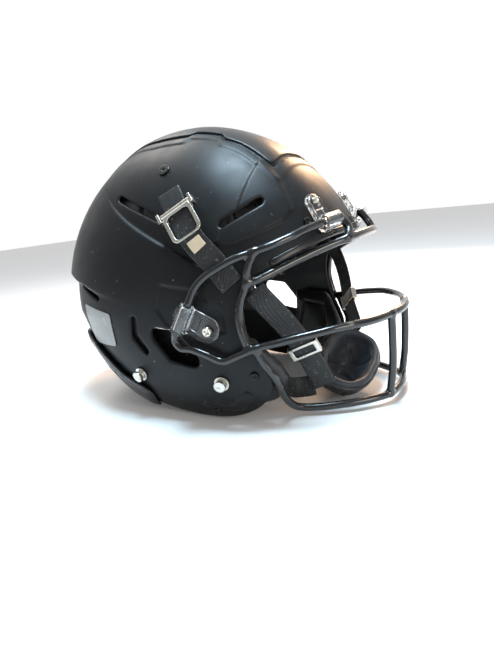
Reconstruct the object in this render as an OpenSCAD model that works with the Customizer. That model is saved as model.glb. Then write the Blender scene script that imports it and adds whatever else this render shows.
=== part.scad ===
// American football helmet: hard shell, wire face guard, liner pads, chin cup and straps.
// +X is the face side, +Y the wearer's left, +Z up. The helmet stands on its jaw flaps at z = 0.

/* [Shell] */
// Length of the shell, forehead to back
shell_length = 309.5; // [250:0.5:375]
// Width of the shell over the ears
shell_width = 229.5; // [190:0.5:280]
// Height of the helmet over its jaw flaps
shell_height = 253.5; // [210:0.5:310]
// Thickness of the moulded shell
shell_wall = 4; // [3:0.1:5.5]
// How far the crown panel stands over the shell
panel_rise = 2.4; // [1:0.1:4]
// Thickness of the rubber bumper along the nape
bumper_thick = 5; // [3:0.1:8]
// Height of the bumper strip
bumper_height = 15; // [10:0.5:22]

/* [Face guard] */
// Diameter of the coated wire
bar_d = 6.6; // [5:0.1:8]
// Air between the wire and the shell
bar_gap = 3.5; // [2:0.1:6]
// Clearance between a clip and the wire in it
clip_clear = 0.25; // [0.1:0.05:0.5]
// Thickness of the clear clips
clip_wall = 2.8; // [2:0.1:4]
// Width of the side clips along the wire
side_clip_w = 25; // [16:0.5:30]
// Width of the front clips along the wire
front_clip_w = 21; // [12:0.5:22]

/* [Liner] */
// Thickness of the crown, brow and back pads
pad_thick = 22; // [12:0.5:30]
// Thickness of the jaw pads
jaw_pad_thick = 20; // [12:0.5:28]
// Thickness of the pads behind the ears
ear_pad_thick = 12; // [8:0.5:16]
// Air between a pad and the shell
pad_gap = 0.8; // [0.5:0.1:2]

/* [Chin strap] */
// Width of the strap webbing
strap_w = 20; // [14:0.5:25]
// Thickness of the strap webbing
strap_t = 2.4; // [1.5:0.1:3.5]
// Width of the chin cup
cup_w = 82; // [66:1:96]
// Height of the chin cup from rim to rim
cup_h = 52; // [42:1:60]
// Depth of the chin cup
cup_depth = 27; // [20:1:34]
// Thickness of the chin cup's outer shell
cup_wall = 2.6; // [2:0.1:4]
// Thickness of the chin cup's soft lining
cup_lining = 4; // [2:0.1:6]

/* [Fasteners] */
// Diameter of the snap studs' heads
stud_d = 10; // [8:0.1:13]
// Height of the snap studs over the shell
stud_h = 6.5; // [5:0.1:9]
// Diameter of the screw heads
screw_d = 9; // [7:0.1:12]
// Diameter of the air valves' needle bores
valve_bore_d = 2.4; // [1.8:0.1:3.2]

/* [Hidden] */

// The outlines below are drawn for a shell of these sizes and stretch with the real one
kx = shell_length / 309.5;
ky = shell_width / 229.5;
kz = shell_height / 253.5;
function at(p) = [p.x * kx, p.y * ky, p.z * kz];

// Shell surface: a rounded dome over a belt line, and a tucked-in lower part under it
shell_centre_x = -23 * kx;
front_reach = 159 * kx;
back_reach = 150.5 * kx;
nape_reach = 136 * kx;
half_w = shell_width / 2;
belt_z = 94 * kz;
crown_reach = shell_height - panel_rise - belt_z;
jaw_reach = 128 * kz;
jaw_lean = 0.366;
plan_power = 2.39;
crown_power = 1.93;
jaw_power = 2.67;
// The back steps in below a ridge that rises towards the rear
ridge_z = 97 * kz;
ridge_slope = 0.23;
ridge_soft = 5;
ridge_top = 127 * kz;

bar_r = bar_d / 2;
inside = -shell_wall - pad_gap;
through = 400;
fine = 32;

function unit(v) = v / norm(v);
function soft_step(t) = let (c = min(max(t, 0), 1)) c * c * (3 - 2 * c);
function signed_pow(v, p) = sign(v) * pow(abs(v), p);
function back_at(x, z) = nape_reach + (back_reach - nape_reach)
    * soft_step((z - min(ridge_z - ridge_slope * x, ridge_top)) / ridge_soft + 0.5);
// How much of its full plan the shell has at height z, offset outwards by off
function level_size(z, off = 0) = z >= belt_z
    ? pow(max(1 - pow((z - belt_z) / (crown_reach + off), crown_power), 0), 1 / crown_power)
    : pow(max(1 - pow((belt_z - z) / (jaw_reach + off), jaw_power), 0), 1 / jaw_power);
function level_x(z) = shell_centre_x + jaw_lean * max(belt_z - z, 0);
// Point on the shell at plan angle t (0 faces forward, -90 is the wearer's right) and height z
function on_shell(t, z, off = 0) =
    let (s = level_size(z, off),
         c = signed_pow(cos(t), 2 / plan_power),
         reach = cos(t) >= 0 ? front_reach : back_at(level_x(z) + back_reach * s * c, z))
    [level_x(z) + (reach + off) * s * c, (half_w + off) * s * signed_pow(sin(t), 2 / plan_power), z];
// Half width of the shell at x and height z
function half_width(x, z, off = 0) =
    let (u = x - level_x(z),
         reach = (u > 0 ? front_reach : back_at(x, z)) + off,
         left = pow(level_size(z, off), plan_power) - pow(abs(u) / reach, plan_power))
    (half_w + off) * pow(max(left, 0), 1 / plan_power);
// Height of the dome over x, y
function dome_z(x, y, off = 0) =
    let (reach = (x > shell_centre_x ? front_reach : back_reach) + off,
         plan = pow(pow(abs(x - shell_centre_x) / reach, plan_power)
             + pow(abs(y) / (half_w + off), plan_power), 1 / plan_power))
    belt_z + (crown_reach + off) * pow(max(1 - pow(plan, crown_power), 0), 1 / crown_power);
// Point on the right side over the drawn x and z, off millimetres outside the shell
function on_side(x, z, off = 0) = [x * kx, -half_width(x * kx, z * kz, off), z * kz];
// Point on the front of the shell at y and height z
function on_front(y, z) = [level_x(z) + front_reach
    * pow(pow(level_size(z), plan_power) - pow(abs(y) / half_w, plan_power), 1 / plan_power), y, z];
// How far out a point lies: 1 on the shell
function field(p) =
    let (u = p.x - level_x(p.z),
         reach = u > 0 ? front_reach : back_at(p.x, p.z),
         plan = pow(pow(abs(u) / reach, plan_power) + pow(abs(p.y) / half_w, plan_power), 1 / plan_power))
    p.z >= belt_z ? pow(plan, crown_power) + pow((p.z - belt_z) / crown_reach, crown_power)
        : pow(plan, jaw_power) + pow((belt_z - p.z) / jaw_reach, jaw_power);
function slope(p, d) = field(p + d) - field(p - d);
function shell_normal(p) = unit([slope(p, [1, 0, 0]), slope(p, [0, 1, 0]), slope(p, [0, 0, 1])]);
function side_normal(x, z) = shell_normal(on_side(x, z));
function at_side_out(x, z, off) = let (p = on_side(x, z)) p + off * shell_normal(p);

// Smooth curve through points, with steps points to each stretch
function smooth(p, steps) = [
    for (i = [0:len(p) - 2], k = [0:steps - 1])
        let (a = p[max(i - 1, 0)], b = p[i], c = p[i + 1], d = p[min(i + 2, len(p) - 1)], t = k / steps)
        b + ((c - a) * t + (2 * a - 5 * b + 4 * c - d) * t * t + (3 * b - a - 3 * c + d) * t * t * t) / 2,
    p[len(p) - 1]];
function heading(p, i) = unit(p[min(i + 1, len(p) - 1)] - p[max(i - 1, 0)]);
function square_off(n, t) = unit(n - t * (n * t));
function there_and_back(p) = concat(p, [for (i = [len(p) - 2:-1:0]) [p[i].x, -p[i].y, p[i].z]]);
function join_rows(rows) = [for (r = rows, p = r) p];

// Closed solid through rings of points, with flat ends
module loft(rings) {
    n = len(rings[0]);
    m = len(rings);
    sides = [for (j = [0:m - 2], i = [0:n - 1], f = [0, 1]) let (a = j * n + i, b = j * n + (i + 1) % n)
        f == 0 ? [a, a + n, b] : [b, a + n, b + n]];
    ends = [[for (i = [0:n - 1]) i], [for (i = [n - 1:-1:0]) (m - 1) * n + i]];
    polyhedron(join_rows(rings), concat(sides, ends));
}

// Round wire along a path
module wire(path, r = bar_r, sides = 10) {
    start = abs(heading(path, 0).z) < 0.8 ? [0, 0, 1] : [1, 0, 0];
    ups = [for (i = 0, n = square_off(start, heading(path, 0)); i < len(path);
        i = i + 1, n = square_off(n, heading(path, min(i, len(path) - 1)))) n];
    loft([for (i = [0:len(path) - 1]) let (t = heading(path, i), u = square_off(ups[i], t), v = cross(t, u))
        [for (k = [0:sides - 1]) path[i] + r * (cos(360 * k / sides) * u + sin(360 * k / sides) * v)]]);
}

// Flat webbing along a path; faces holds the direction that the face of each point looks in
module ribbon(path, faces, w, t) {
    loft([for (i = [0:len(path) - 1])
        let (h = heading(path, i), n = square_off(faces[i], h), s = cross(n, h))
        [for (c = [[-w, -t], [w, -t], [w, t], [-w, t]]) path[i] + (s * c.x + n * c.y) / 2]]);
}

// Closed slab between an outer and an inner grid of points
module slab(outer, inner) {
    m = len(outer);
    n = len(outer[0]);
    k = m * n;
    cells = [for (i = [0:m - 2], j = [0:n - 2], f = [0:3]) let (a = i * n + j, b = a + n)
        [[a, a + 1, b], [a + 1, b + 1, b], [k + a, k + b, k + a + 1], [k + a + 1, k + b, k + b + 1]][f]];
    rows = [for (i = [0:m - 2], e = [0, n - 1], f = [0, 1]) let (a = i * n + e, b = a + n)
        e == 0 ? [[a, b, k + a], [b, k + b, k + a]][f] : [[a, k + a, b], [b, k + a, k + b]][f]];
    cols = [for (j = [0:n - 2], e = [0, m - 1], f = [0, 1]) let (a = e * n + j, b = a + 1)
        e == 0 ? [[a, k + a, b], [b, k + a, k + b]][f] : [[a, b, k + a], [b, k + b, k + a]][f]];
    polyhedron(concat(join_rows(outer), join_rows(inner)), concat(cells, rows, cols));
}

// Pad between plan angles t0 and t1 and heights z0 and z1, thinner towards its edges
module side_pad(t0, t1, z0, z1, thick, cols = 8, rows = 5) {
    function plump(u) = 1 - pow(abs(2 * u - 1), 4);
    outer = [for (i = [0:cols]) [for (j = [0:rows])
        on_shell(t0 + (t1 - t0) * i / cols, (z0 + (z1 - z0) * j / rows) * kz, inside)]];
    inner = [for (i = [0:cols]) [for (j = [0:rows])
        on_shell(t0 + (t1 - t0) * i / cols, (z0 + (z1 - z0) * j / rows) * kz,
            inside - thick * (0.55 + 0.45 * plump(i / cols) * plump(j / rows)))]];
    slab(outer, inner);
}

module on_both_sides() {
    children();
    mirror([0, 1, 0]) children();
}

// Puts a child on the right side at drawn x, z, with its +Z out of the shell and its +X forward
module stand_on_side(x, z, off = 0) {
    n = side_normal(x, z);
    f = square_off([1, 0, 0], n);
    s = cross(n, f);
    p = on_side(x, z) + off * n;
    multmatrix([[f.x, s.x, n.x, p.x], [f.y, s.y, n.y, p.y], [f.z, s.z, n.z, p.z]]) children();
}

// Slot through the right side from a to b in side view, w wide
module side_slot(a, b, w) {
    hull() for (p = [a, b])
        translate([p.x * kx, 0, p.y * kz]) rotate([90, 0, 0]) cylinder(h = through / 2, d = w, $fn = 16);
}

// Outline of the openings in side view: jaw edge, face opening, then the brow
jaw_edge = [[-176, 58], [-125, 52], [-100, 45], [-82, 32], [-64, 18], [-45, 10], [-26, 6], [-8, 2.6],
    [12, 0.3], [28, 0.3], [45, 3], [62, 10], [74, 19], [82, 29]];
face_edge = [[84, 40], [80, 52], [73.5, 65], [68, 78], [65.5, 92], [66, 106], [69.5, 117], [78, 125],
    [91, 131], [104, 137.5], [114, 143], [124, 147], [140, 149]];
edge_curve = smooth([for (p = concat(jaw_edge, face_edge)) [p.x * kx, p.y * kz]], 2);

module shell() {
    cols = 60;
    dome_rows = 13;
    skirt_rows = 8;
    skirt_low = -8 * kz;
    function ring(z, off) = [for (i = [0:cols - 1]) on_shell(360 * i / cols, z, off)];
    function rings(off) = concat(
        [for (j = [0:skirt_rows - 1]) ring(skirt_low + (belt_z - skirt_low) * j / skirt_rows, off)],
        [for (j = [0:dome_rows])
            ring(belt_z + (crown_reach + off) * pow(sin(88 * j / dome_rows), 2 / crown_power), off)]);
    color("#17181b") difference() {
        loft(rings(0));
        translate([0, 0, -0.01]) loft(rings(-shell_wall));
        // Everything under and ahead of the edge
        translate([0, through / 2, 0]) rotate([90, 0, 0]) linear_extrude(through)
            polygon(concat(edge_curve, [[260, 149 * kz], [260, -60], [-260, -60], [-260, 58 * kz]]));
        for (m = [0, 1]) mirror([0, m, 0]) {
            // Ear opening, chevron vent, rear and front vents, low rear slot
            hull() for (p = [[-12, 80, 8], [4, 78, 8], [20, 58, 5], [0, 62, 5]])
                translate([p.x * kx, 0, p.y * kz]) rotate([90, 0, 0])
                    cylinder(h = through / 2, r = p.z, $fn = 20);
            side_slot([-35, 92], [-37, 78], 7);
            side_slot([-37, 78], [-27, 65], 7);
            side_slot([-54, 193.5], [-5, 173], 5);
            side_slot([50, 165.5], [74, 179], 5.5);
            side_slot([-104, 120.5], [-78, 110], 4);
        }
        // Wells for the air valves
        for (m = [0, 1]) mirror([0, m, 0]) stand_on_side(valve_spot.x, valve_spot.y)
            translate([0, 0, -20]) cylinder(h = 40, d = valve_d + 2 * valve_clear, $fn = fine);
    }
}

// Raised panel along the crown, stepped along its edges
panel_back = -104;
panel_front = 76;
function panel_half(x) = 31 + 8 * soft_step((x + 75) / 40) - 6 * soft_step((x + 8) / 8)
    + 6 * soft_step((x - 24) / 8) + 5 * soft_step((x - 40) / 40);
module crown_panel() {
    rows = 18;
    cols = 8;
    foot = 0.6;
    function grid(off) = [for (i = [0:rows]) [for (j = [0:cols])
        let (x = panel_back + (panel_front - panel_back) * i / rows,
             y = panel_half(x) * ky * (2 * j / cols - 1), h = x * kx)
        [h, y, dome_z(h, y) + off]]];
    color("#1b1c20") slab(grid(panel_rise), grid(foot));
}

// Lower edge of the shell at plan angle t, from the side-view outline
function edge_z(t) = let (p = on_shell(t, 30 * kz)) lookup(p.x, jaw_edge_pairs);
jaw_edge_pairs = [for (p = jaw_edge) [p.x * kx, p.y * kz]];
module nape_bumper() {
    cols = 34;
    rows = 3;
    first = 98;
    tuck = 0.7;
    round_over = 1.6;
    function swell(j) = bumper_thick - round_over * (j == 0 || j == rows ? 1 : 0);
    function grid(out) = [for (i = [0:cols]) [for (j = [0:rows])
        let (t = first + (360 - 2 * first) * i / cols, low = edge_z(t) - 2)
        on_shell(t, low + (bumper_height + 6 * soft_step(abs(t - 180) / 60 - 0.4)) * j / rows,
            out ? tuck + swell(j) : tuck)]];
    color("#0d0d0e") slab(grid(true), grid(false));
}

module brow_bumper() {
    cols = 24;
    half_angle = 50;
    brow_line = [for (p = face_edge) if (p.y > 116) [p.x * kx, p.y * kz]];
    function low(t) = lookup(on_shell(t, 138 * kz).x, brow_line) + 1.5;
    function grid(off, rise) = [for (i = [0:cols]) let (t = -half_angle + 2 * half_angle * i / cols)
        [for (h = [0, 2.6, 5.2]) on_shell(t, low(t) + h, off - (h > 5 ? rise : 0))]];
    color("#131315") slab(grid(3, 1), grid(0.7, 0));
}

module rating_patch() {
    function grid(off) = [for (i = [0:4]) [for (j = [0:4])
        let (x = -100 + 36 * i / 4, z = 68 + 32 * j / 4 - 0.25 * (x + 100)) at_side_out(x, z, off)]];
    color("#8d8f92") slab(grid(0.9), grid(0.4));
}

module crown_pad() {
    rows = 9;
    cols = 7;
    function plump(u) = 1 - pow(abs(2 * u - 1), 4);
    function grid(deep) = [for (i = [0:rows]) [for (j = [0:cols])
        let (x = (-88 + 132 * i / rows) * kx, y = (104 * j / cols - 52) * ky)
        [x, y, dome_z(x, y, inside)
            - (deep ? pad_thick * (0.55 + 0.45 * plump(i / rows) * plump(j / cols)) : 0)]]];
    color("#202124") slab(grid(false), grid(true));
}
module brow_pad() {
    color("#202124") side_pad(-44, 44, 152, 186, pad_thick, 10, 5);
}
module back_pad() {
    color("#202124") side_pad(145, 215, 145, 190, pad_thick, 10, 5);
}
module nape_pad() {
    color("#202124") side_pad(136, 224, 64, 114, pad_thick, 12, 5);
}
module side_pad_left() {
    color("#202124") side_pad(59, 122, 123, 196, pad_thick);
}
module side_pad_right() {
    mirror([0, 1, 0]) side_pad_left();
}
module jaw_pad_left() {
    mirror([0, 1, 0]) jaw_pad_right();
}
module jaw_pad_right() {
    rows = 6;
    cols = 7;
    function plump(u) = 1 - pow(abs(2 * u - 1), 4);
    function grid(deep) = [for (i = [0:cols]) [for (j = [0:rows])
        let (z = 14 + 62 * j / rows, front = lookup(z, [[14, 78], [30, 90], [44, 87], [60, 78], [76, 66]]),
             back = lookup(z, [[14, 30], [40, 16], [50, 27], [76, 27]]),
             x = back + (front - back) * i / cols, p = on_side(x, z, inside))
        p + [0, 10 * soft_step((x - 66) / 18)
            + (deep ? jaw_pad_thick * (0.6 + 0.4 * plump(i / cols) * plump(j / rows))
                * (1 - 0.25 * i / cols) : 0), 0]]];
    color("#151516") slab(grid(false), grid(true));
}
module ear_pad_left() {
    color("#151516") side_pad(94, 124, 50, 112, ear_pad_thick, 8, 5);
}
module ear_pad_right() {
    mirror([0, 1, 0]) ear_pad_left();
}

// Routes of the wires. Where a wire runs along the shell, its distance follows from the shell.
wire_off = bar_gap + bar_r;
function beside(x, z, extra = 0) = at_side_out(x, z, wire_off + extra);
// A clip's foot lies flat on the curved shell, so the wire stands further out there
clip_seat = bar_r + clip_clear + clip_wall + 1.5;
// Straight wire that shows at each end of a clip
clip_spare = 0.8;
side_clip_mid = at_side_out(20, 95, clip_seat);
side_clip_way = unit(at_side_out(14, 84, clip_seat) - at_side_out(26, 106, clip_seat));
clip_top = side_clip_mid - side_clip_way * (side_clip_w / 2 + clip_spare);
clip_low = side_clip_mid + side_clip_way * (side_clip_w / 2 + clip_spare);
function at_brow(y, z) = let (p = on_front(y * ky, z * kz)) p + clip_seat * shell_normal(p);
brow_clip_mid = at_brow(-40.5, 156);
brow_clip_way = unit(at_brow(-46, 155.5) - at_brow(-33, 157));
brow_clip_in = brow_clip_mid - brow_clip_way * (front_clip_w / 2 + clip_spare);
brow_clip_out = brow_clip_mid + brow_clip_way * (front_clip_w / 2 + clip_spare);
brow_corner = at([134, -39.5, 144.5]);
side_post_top = beside(75, 141);
straight_on = 2;
top_route = [brow_corner, at([132.5, -31, 152]), brow_clip_in - brow_clip_way * straight_on, brow_clip_in,
    brow_clip_out, brow_clip_out + brow_clip_way * straight_on, at([109, -66.5, 155]),
    at([101.5, -79, 151]), at([89, -91, 146]), side_post_top, beside(62, 137, 2), beside(50, 131.5, 1),
    beside(39, 125), beside(31.5, 117), clip_top - side_clip_way * straight_on, clip_top, clip_low];
mouth_start = clip_low;
guard_corner = at([163.5, -27, 79.5]);
guard_front = 171.8 * kx - bar_r;
mouth_route = [mouth_start, beside(11.5, 77), beside(16, 71.5), beside(25, 70.5), beside(37, 66),
    beside(50, 60.5), beside(62, 64.5), at([77, -104.5, 69.3]), at([91, -99, 72]), at([106, -92, 75]),
    at([119, -84.5, 77]), at([133, -75, 79]), at([147, -61, 79.5]), at([156.5, -46, 79.5]),
    guard_corner, [guard_front - 1.2, -13 * ky, 79.8 * kz], [guard_front, 0, 80 * kz]];
brow_start = at([71.5, -102, 119.5]);
brow_route = [brow_start, at([80, -95.6, 121.8]), at([91, -83, 127]), at([103, -70, 132.5]),
    at([116, -56, 138]), at([127, -45.5, 142]), at([134.5, -38, 144]), at([139, -20, 145.8]), at([140.5, 0, 146.3])];
post_route = [side_post_top, at([73.5, -101.5, 131]), brow_start, at([67, -105, 107]), at([65, -107, 92]),
    at([67, -107.5, 80]), at([70.5, -106.5, 68.4])];
chin_route = [at([76, -105, 68.5]), at([80.5, -103, 57]), at([86.8, -99.5, 45.5]), at([88, -93.5, 35]),
    at([88, -86, 23.5]), at([90, -77.5, 13]), at([95, -69.5, 7.2]), at([110, -63.5, 6.5]), at([131, -52, 7]),
    at([149, -38, 7.6]), at([160, -25, 8.4]), at([163.5, -12, 9]), at([164.6, 0, 9.2])];
front_post_route = [guard_corner, at([163.8, -26.5, 58]), at([163, -25.5, 32]), at([160, -25, 8.4])];

module top_bar_right() {
    color("#121214") wire(smooth(top_route, 3));
}
module top_bar_left() {
    mirror([0, 1, 0]) top_bar_right();
}
module brow_bar() {
    color("#121214") wire(smooth(there_and_back(brow_route), 2));
}
module mouth_bar() {
    color("#121214") wire(smooth(there_and_back(mouth_route), 2));
}
module chin_bar() {
    color("#121214") wire(smooth(there_and_back(chin_route), 2));
}
module side_post_right() {
    color("#121214") wire(smooth(post_route, 3));
}
module side_post_left() {
    mirror([0, 1, 0]) side_post_right();
}
module front_post_right() {
    color("#121214") wire(smooth(front_post_route, 3));
}
module front_post_left() {
    mirror([0, 1, 0]) front_post_right();
}

// Clip: a loop round the wire and a tab that a screw holds to the shell.
// In its own frame the wire runs along Z through the origin and the tab runs along +X.
loop_r = bar_r + clip_clear + clip_wall;
module clip(w, tab) {
    difference() {
        linear_extrude(w, center = true) difference() {
            union() {
                circle(r = loop_r, $fn = 48);
                translate([0, -loop_r]) square([tab, clip_wall]);
                translate([0, -loop_r]) square([loop_r, loop_r]);
            }
            circle(r = bar_r + clip_clear, $fn = 48);
        }
        translate([tab - w * 0.36, 0, 0]) rotate([90, 0, 0])
            cylinder(h = 40, d = screw_d * 0.55, center = true, $fn = fine);
    }
}
side_tab = 31;
front_tab = 28;
function clip_frame(p, along, out) = let (z = unit(along), y = square_off(out, z), x = cross(y, z))
    [[x.x, y.x, z.x, p.x], [x.y, y.y, z.y, p.y], [x.z, y.z, z.z, p.z]];
side_out = side_normal(34, 91);
side_clip_at = clip_frame((clip_top + clip_low) / 2, clip_low - clip_top, side_out);
front_out = shell_normal(on_front(-39 * ky, 168 * kz));
front_clip_at = clip_frame((brow_clip_in + brow_clip_out) / 2, brow_clip_in - brow_clip_out, front_out);
module side_clip_right() {
    color("#c9ced3", 0.55) multmatrix(side_clip_at) clip(side_clip_w, side_tab);
}
module side_clip_left() {
    mirror([0, 1, 0]) side_clip_right();
}
module front_clip_right() {
    color("#c9ced3", 0.55) multmatrix(front_clip_at) clip(front_clip_w, front_tab);
}
module front_clip_left() {
    mirror([0, 1, 0]) front_clip_right();
}
// Pan-head screw with a cross slot; z = 0 is under its head
module screw(d, shank, head) {
    difference() {
        union() {
            cylinder(h = head, d1 = d, d2 = d * 0.8, $fn = fine);
            translate([0, 0, -shank]) cylinder(h = shank + 0.1, d = d * 0.45, $fn = fine);
        }
        for (a = [0, 90]) rotate(a) translate([-d * 0.28, -0.5, head - 0.9]) cube([d * 0.56, 1, 2]);
    }
}
module side_clip_screws() {
    color("#1e1e20") on_both_sides() multmatrix(side_clip_at)
        translate([side_tab - side_clip_w * 0.36, clip_wall - loop_r, 0]) rotate([-90, 0, 0])
            screw(screw_d, clip_wall, 2.4);
}
module front_clip_screws() {
    color("#1e1e20") on_both_sides() multmatrix(front_clip_at)
        translate([front_tab - front_clip_w * 0.36, clip_wall - loop_r, 0]) rotate([-90, 0, 0])
            screw(screw_d * 0.85, clip_wall, 2.2);
}
module brow_screws() {
    color("#1e1e20") on_both_sides() stand_on_side(106, 160, 0.3) screw(screw_d * 0.8, 0.2, 2);
}
module jaw_screws() {
    color("#131315") on_both_sides() {
        stand_on_side(71, 45, 0.3) screw(screw_d * 0.9, 0.2, 2);
        stand_on_side(29, 9, 0.3) screw(screw_d * 0.9, 0.2, 2);
    }
}

// Snap stud: a waisted button on a round base
module snap_stud() {
    base = 1.6;
    waist = 2;
    cylinder(h = base, d = stud_d + 3, $fn = 48);
    translate([0, 0, base - 0.1]) cylinder(h = waist + 0.2, d = stud_d * 0.7, $fn = 48);
    translate([0, 0, base + waist]) cylinder(h = stud_h - base - waist, d = stud_d, $fn = 48);
}
front_stud = [43, 38.5];
rear_stud = [-39.5, 41.5];
upper_stud = [20, 169];
stud_seat = 0.4;
upper_stud_d = stud_d * 0.8;
upper_stud_h = 3;
module front_snap_studs() {
    color("#b9b4aa") on_both_sides() stand_on_side(front_stud.x, front_stud.y, stud_seat) snap_stud();
}
module rear_snap_studs() {
    color("#b9b4aa") on_both_sides() stand_on_side(rear_stud.x, rear_stud.y, stud_seat) snap_stud();
}
module upper_snap_studs() {
    color("#b9b4aa") on_both_sides() stand_on_side(upper_stud.x, upper_stud.y, stud_seat)
        cylinder(h = upper_stud_h, d = upper_stud_d, $fn = 48);
}

// Air valve: a flanged rubber bush in a hole through the shell, with a bore for the pump needle
valve_spot = [-12, 213];
valve_d = 7;
valve_clear = 0.3;
valve_depth = 9;
module air_valves() {
    color("#0e0e0f") on_both_sides() stand_on_side(valve_spot.x, valve_spot.y) difference() {
        union() {
            translate([0, 0, 0.4]) cylinder(h = 1, d = valve_d + 3.5, $fn = 48);
            translate([0, 0, 0.4 - valve_depth]) cylinder(h = valve_depth + 0.1, d = valve_d, $fn = 48);
        }
        translate([0, 0, -valve_depth - 1]) cylinder(h = valve_depth + 4, d = valve_bore_d, $fn = 48);
    }
}

// Upper strap on the shell: a buckle snapped on a stud, and webbing that runs over it down to the brow
socket_low = 1.4;
socket_h = 2.6;
plate_low = socket_low + socket_h;
plate_t = 1.4;
strap_air = 0.4;
strap_mid = plate_low + plate_t + strap_air + strap_t / 2;
lever_t = 1.8;
lever_pin_d = 2.2;
barrel_d = 4;
pin_clear = 0.06;
lever_air = 0.5;
pin_up = strap_mid + strap_t / 2 + lever_air + barrel_d / 2;
buckle_w = strap_w + 13;
buckle_l = 26;
ear_t = 2.6;
pin_back = -9;
lever_l = 27;
lever_rail = 3.2;
lever_round = 5.5;
// Stations of the strap in side view, with how far each lies under its height at the buckle
strap_line = [[5, 190.5, -0.8], [13, 179, -0.5], [22, 165.5, 0], [31, 153.5, -0.8], [40, 143.5, 2.6],
    [46, 137, 4.3], [53, 128, 4.7], [60, 118.5, 4.7]];
function strap_points(drop) = [for (p = smooth(strap_line, 3)) at_side_out(p.x, p.y, strap_mid - p.z * drop)];
module shell_strap_right() {
    color("#161617") ribbon(strap_points(1), [for (p = smooth(strap_line, 3)) side_normal(p.x, p.y)],
        strap_w, strap_t);
}
module shell_strap_left() {
    mirror([0, 1, 0]) shell_strap_right();
}
// Frame at the buckle: +X runs down the strap, +Z out of the shell
buckle_n = side_normal(upper_stud.x, upper_stud.y);
buckle_x = square_off(on_side(31, 153.5) - on_side(9, 184.5), buckle_n);
buckle_y = cross(buckle_n, buckle_x);
buckle_p = on_side(upper_stud.x, upper_stud.y);
module at_buckle(out = 0) {
    p = buckle_p + out * buckle_n;
    multmatrix([[buckle_x.x, buckle_y.x, buckle_n.x, p.x], [buckle_x.y, buckle_y.y, buckle_n.y, p.y],
        [buckle_x.z, buckle_y.z, buckle_n.z, p.z]]) children();
}
module buckle_socket_right() {
    color("#b7b2a8") at_buckle(socket_low) difference() {
        cylinder(h = socket_h, d = upper_stud_d + 6, $fn = 48);
        translate([0, 0, -1]) cylinder(h = socket_h + 2, d = upper_stud_d + 0.4, $fn = 48);
    }
}
module buckle_socket_left() {
    mirror([0, 1, 0]) buckle_socket_right();
}
module buckle_frame_right() {
    ear_h = pin_up + barrel_d / 2 - plate_low;
    color("#b9b4aa") at_buckle(plate_low) difference() {
        union() {
            linear_extrude(plate_t) rounded(buckle_l, strap_w + 2, 4);
            linear_extrude(plate_t) translate([pin_back, 0]) square([2 * barrel_d, buckle_w], center = true);
            for (s = [-1, 1]) translate([pin_back - barrel_d, s * (buckle_w - ear_t) / 2 - ear_t / 2, 0])
                cube([2 * barrel_d, ear_t, ear_h]);
        }
        translate([pin_back, 0, pin_up - plate_low]) rotate([90, 0, 0])
            cylinder(h = buckle_w + 2, d = lever_pin_d + 2 * pin_clear, center = true, $fn = fine);
    }
}
// Rectangle with round corners, made of true arcs
module rounded(l, w, r) {
    square([l - 2 * r, w], center = true);
    square([l, w - 2 * r], center = true);
    for (x = [-1, 1], y = [-1, 1]) translate([x * (l / 2 - r), y * (w / 2 - r)]) circle(r = r, $fn = fine);
}
module buckle_frame_left() {
    mirror([0, 1, 0]) buckle_frame_right();
}
module buckle_lever_right() {
    wide = buckle_w - 2 * ear_t - 0.8;
    color("#c4bfb5") at_buckle(pin_up) translate([pin_back, 0, 0]) {
        translate([lever_l / 2, 0, -lever_t / 2]) linear_extrude(lever_t) difference() {
            rounded(lever_l, wide, lever_round);
            translate([lever_rail / 4, 0]) rounded(lever_l - 1.5 * lever_rail, wide - 2 * lever_rail,
                lever_round - 1.5);
        }
        rotate([90, 0, 0]) cylinder(h = wide, d = barrel_d, center = true, $fn = fine);
        rotate([90, 0, 0]) cylinder(h = buckle_w - 0.8, d = lever_pin_d, center = true, $fn = fine);
    }
}
module buckle_lever_left() {
    mirror([0, 1, 0]) buckle_lever_right();
}
// Short strap end that hangs out under the buckle
module strap_tab_right() {
    line = [[32.2, 153.4, -0.9], [34.5, 150.3, -0.5], [38, 146.3, 0.4]];
    path = [for (p = line) at_side_out(p.x, p.y, strap_mid + strap_t + 0.3 - p.z)];
    color("#8a6f52") ribbon(path, [for (p = line) side_normal(p.x, p.y)], strap_w * 0.6, 1.6);
}
module strap_tab_left() {
    mirror([0, 1, 0]) strap_tab_right();
}

// Straps from the brow to the chin cup, and the loose lower tails. The cup lies over to the right,
// so the two straps take their own routes.
right_route = [at([70, -88, 112]), at([78, -85, 101]), at([88, -76, 84]), at([96, -66, 65]),
    at([102, -58, 47]), at([108, -54, 32]), at([112, -52, 22])];
left_route = [at([74, 86, 130]), at([84, 80, 119]), at([94, 69, 100]), at([100, 59, 82]), at([106, 49, 68]),
    at([112, 42, 56]), at([117.5, 35, 46.5])];
right_face = [0.05, -0.95, 0.3];
left_face = [0.5, 0.83, 0.25];
module cup_strap(route, face) {
    line = smooth(route, 2);
    color("#161617") ribbon(line, [for (p = line) face], strap_w, strap_t);
}
module cup_strap_right() {
    cup_strap(right_route, right_face);
}
module cup_strap_left() {
    cup_strap(left_route, left_face);
}
module slide_buckle(route, face) {
    mid = (route[3] + route[4]) / 2;
    along = route[3] - route[4];
    gap = 0.5;
    color("#a9a49a") multmatrix(clip_frame(mid, along, square_off(face, unit(along)))) difference() {
        cube([strap_w + 7, strap_t + 3, slide_l], center = true);
        cube([strap_w + 2 * gap, strap_t + 2 * gap, 2 * slide_l], center = true);
        translate([0, strap_t, 0]) cube([strap_w - 1, 2 * strap_t, slide_l - 5], center = true);
    }
}
module slide_buckle_right() {
    slide_buckle(right_route, right_face);
}
module slide_buckle_left() {
    slide_buckle(left_route, left_face);
}
slide_l = 12;
lower_face = [-0.1, -0.95, 0.2];
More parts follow.
